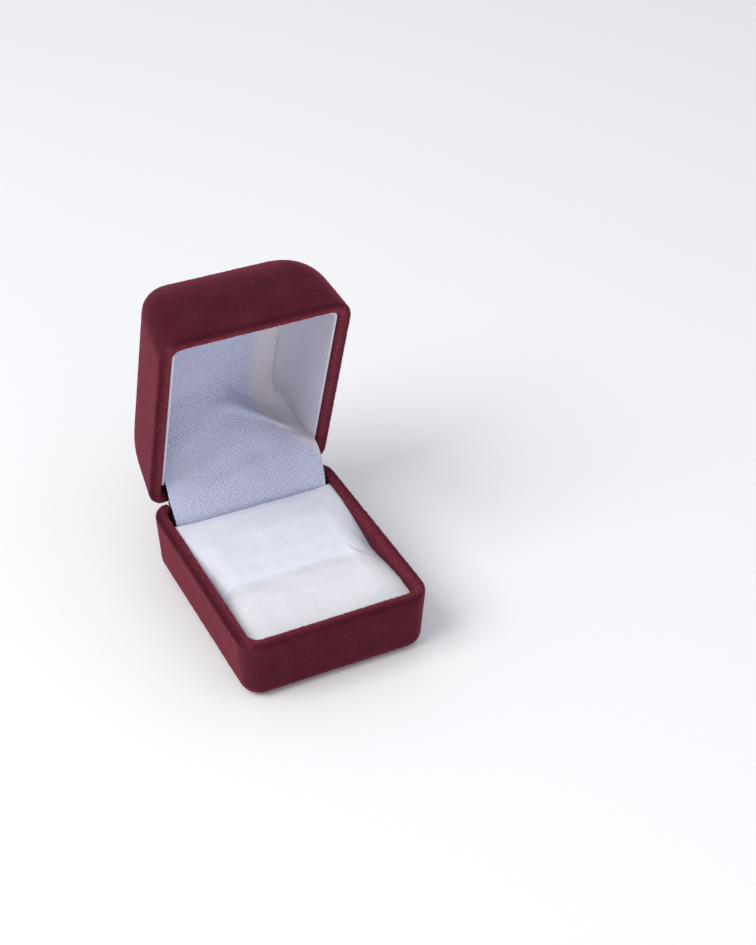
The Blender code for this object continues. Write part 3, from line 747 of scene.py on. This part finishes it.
# The satin's lengthwise curves in millimetres, from its left edge to its right. Each has its
# place across as a share of the half width, points (y, z) up the flap, and points (y, height
# above the seam) on the inside of the shut lid.
SATIN_CURVES = [
    (
        -1.0,
        [
            (21.4, 8.0), (21.4, 12.5), (22.2, 14.6), (24.5, 17.5),
            (26.3, 19.4), (27.3, 21.7), (29.1, 23.6),
        ],
        [
            (20.4, 5.0), (18.2, 9.0), (15.2, 13.4), (11.6, 17.0),
            (6.0, 19.8), (-8.0, 20.2), (-21.9, 20.2),
        ],
    ),
    (
        -0.5,
        [
            (21.3, 8.0), (21.3, 12.5), (22.3, 15.0), (24.4, 18.4),
            (26.8, 21.9), (29.2, 25.2), (31.6, 28.4),
        ],
        [
            (15.8, 8.0), (13.8, 11.0), (11.6, 14.2), (9.0, 17.2),
            (4.0, 19.8), (-8.0, 20.2), (-21.9, 20.2),
        ],
    ),
    (
        0.0,
        [
            (21.3, 8.0), (21.3, 12.5), (22.4, 15.2), (24.6, 18.8),
            (27.2, 22.6), (29.8, 26.4), (32.6, 30.2),
        ],
        [
            (14.8, 10.2), (13.0, 12.7), (12.2, 15.6), (9.8, 18.6),
            (4.0, 20.1), (-8.0, 20.2), (-21.9, 20.2),
        ],
    ),
    (
        0.4,
        [
            (21.2, 8.0), (21.2, 12.5), (22.2, 15.0), (24.4, 18.3),
            (26.9, 21.5), (29.5, 24.8), (32.2, 28.2),
        ],
        [
            (17.0, 8.6), (16.0, 10.4), (17.2, 14.6), (16.6, 18.4),
            (10.6, 20.3), (-8.0, 20.3), (-21.9, 20.2),
        ],
    ),
    (
        0.75,
        [
            (21.2, 8.0), (21.1, 12.5), (21.9, 15.2), (23.8, 18.2),
            (26.0, 21.0), (28.6, 23.6), (31.4, 25.6),
        ],
        [
            (20.4, 6.0), (20.0, 7.5), (21.4, 12.0), (21.6, 17.0),
            (16.4, 20.4), (-8.0, 20.4), (-21.9, 20.3),
        ],
    ),
    (
        1.0,
        [
            (21.2, 8.0), (21.0, 12.5), (20.5, 15.4), (21.2, 18.7),
            (22.3, 21.0), (23.6, 23.6), (26.0, 25.5),
        ],
        [
            (20.4, 2.4), (21.9, 8.0), (21.4, 13.2), (19.8, 17.6),
            (16.6, 20.4), (-8.0, 20.4), (-21.9, 20.3),
        ],
    ),
]


def opened(y, height):
    """World (y, z), in millimetres, of a lid point given shut as (y, height above the seam)."""
    dy = y - HINGE.y / MM
    dz = height + (SEAM_HEIGHT - HINGE.z) / MM
    c, s = math.cos(OPEN_ANGLE), math.sin(OPEN_ANGLE)
    return HINGE.y / MM + c * dy + s * dz, HINGE.z / MM - s * dy + c * dz


def smooth_path(points, steps):
    """Catmull-Rom curve through rows of numbers."""
    points = np.array(points, float)
    path = []
    last = len(points) - 1
    for i in range(last):
        a, b = points[max(i - 1, 0)], points[i]
        c, d = points[i + 1], points[min(i + 2, last)]
        for step in range(steps):
            t = step / steps
            path.append(
                0.5 * (2 * b + (c - a) * t + (2 * a - 5 * b + 4 * c - d) * t * t
                       + (3 * b - a - 3 * c + d) * t ** 3)
            )
    path.append(points[-1])
    return np.array(path)


def room_beside(y, height, walls):
    """Half the room, in millimetres, between the liners or the walls at a place in the shut lid."""
    at = Vector((0, *opened(y, height))) * MM
    hits = [wall.ray_cast(at, Vector((1, 0, 0)))[3] for wall in walls]
    return min(hit for hit in hits if hit) / MM + TUCK


def satin_rail(u, flap, inside, walls):
    """One lengthwise curve of the satin: world (y, z) up the flap, then (y, height) in the shut lid."""
    rows = [(u * FLAP_HALF_WIDTH, y, z) for y, z in flap]
    rows += [(u * room_beside(y, height, walls), *opened(y, height)) for y, height in inside]
    return smooth_path(rows, STEPS_ALONG)


def satin_points():
    """Rows of points of the unwrinkled satin in millimetres, from its tail to the lid's front."""
    walls = [surface_of("lid_wall_liner"), surface_of("lid_shell")]
    rails = [satin_rail(*curve, walls) for curve in SATIN_CURVES]
    return smooth_path(rails, STEPS_ACROSS).transpose(1, 0, 2)


def fold_height(x, along):
    """Rise of the cloth over the folds, low on the flap, in millimetres."""
    rise = np.zeros_like(x)
    c, s = FOLD_SLANT
    for at_x, at_y, depth in FOLDS:
        across = (along - at_y) * c - (x - at_x) * s
        length = (along - at_y) * s + (x - at_x) * c
        rise -= depth * np.exp(-(across / FOLD_HALF_WIDTH) ** 2 - (length / FOLD_HALF_LENGTH) ** 2)
    return rise


def make_satin(look):
    """Lining cloth that rises behind the pad, bridges the hinge and covers the lid's inside."""
    rows = satin_points()
    columns = rows.shape[1]
    points = rows.reshape(-1, 3) * MM
    piece = mesh_object("satin_sheet", points, grid_faces(columns, len(rows)))
    middle = rows[:, columns // 2]
    along = np.concatenate([[0], np.cumsum(np.linalg.norm(np.diff(middle, axis=0), axis=1))])
    uv = piece.data.uv_layers.new(name="cloth")
    loops = np.zeros(len(piece.data.loops), np.int32)
    piece.data.loops.foreach_get("vertex_index", loops)
    flat = np.stack([rows[..., 0].ravel(), np.repeat(along, columns)], axis=1)
    uv.data.foreach_set("uv", flat[loops].astype(np.float32).ravel())
    wrinkles = 0.10 * MM * value_noise(points, 8 * MM, 21)
    wrinkles += 0.03 * MM * value_noise(points, 2.5 * MM, 22)
    wrinkles += MM * fold_height(flat[:, 0], flat[:, 1])
    set_points(piece.data, points + normals_of(piece.data) * wrinkles[:, None])
    piece.data.materials.append(look)
    thick = piece.modifiers.new("thickness", "SOLIDIFY")
    thick.thickness = SATIN_THICKNESS
    thick.offset = 0
    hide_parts("satin_lining")
    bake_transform(piece)


# ---------------------------------------------------------------- carried-over CAD pieces

def dress(node, look, edge=0.0):
    """New material on a CAD node and, where it has corners, a fine rounding of its edges."""
    piece = frame["nodes"][node]
    piece.data.materials.clear()
    piece.data.materials.append(look)
    if edge:
        bevel = piece.modifiers.new("edge", "BEVEL")
        bevel.width = edge
        bevel.segments = 2
        bevel.limit_method = "ANGLE"


def main():
    make_camera()
    make_studio()
    flock = flock_look()
    make_flocked("flocked_base", "base_shell", "base", flock, 3)
    make_flocked("flocked_lid", "lid_shell", "lid", flock, 5)
    make_pad()
    make_satin(satin_look())
    card = card_look()
    for node in ("pad_board", "lid_wall_liner", "lid_ceiling_board"):
        dress(node, card)
    foam = foam_look()
    for node in ("pad_foam_back", "pad_foam_front"):
        dress(node, foam)
    black = steel_look("black_steel", (0.010, 0.009, 0.010), 0.45)
    for node in ("hinge_base_leaf", "hinge_lid_leaf", "hinge_pin_left", "hinge_pin_right"):
        dress(node, black, 0.06 * MM)
    spring = steel_look("spring_steel", (0.10, 0.10, 0.11), 0.35)
    for node in ("snap_spring_left", "snap_spring_right"):
        dress(node, spring, 0.04 * MM)


main()
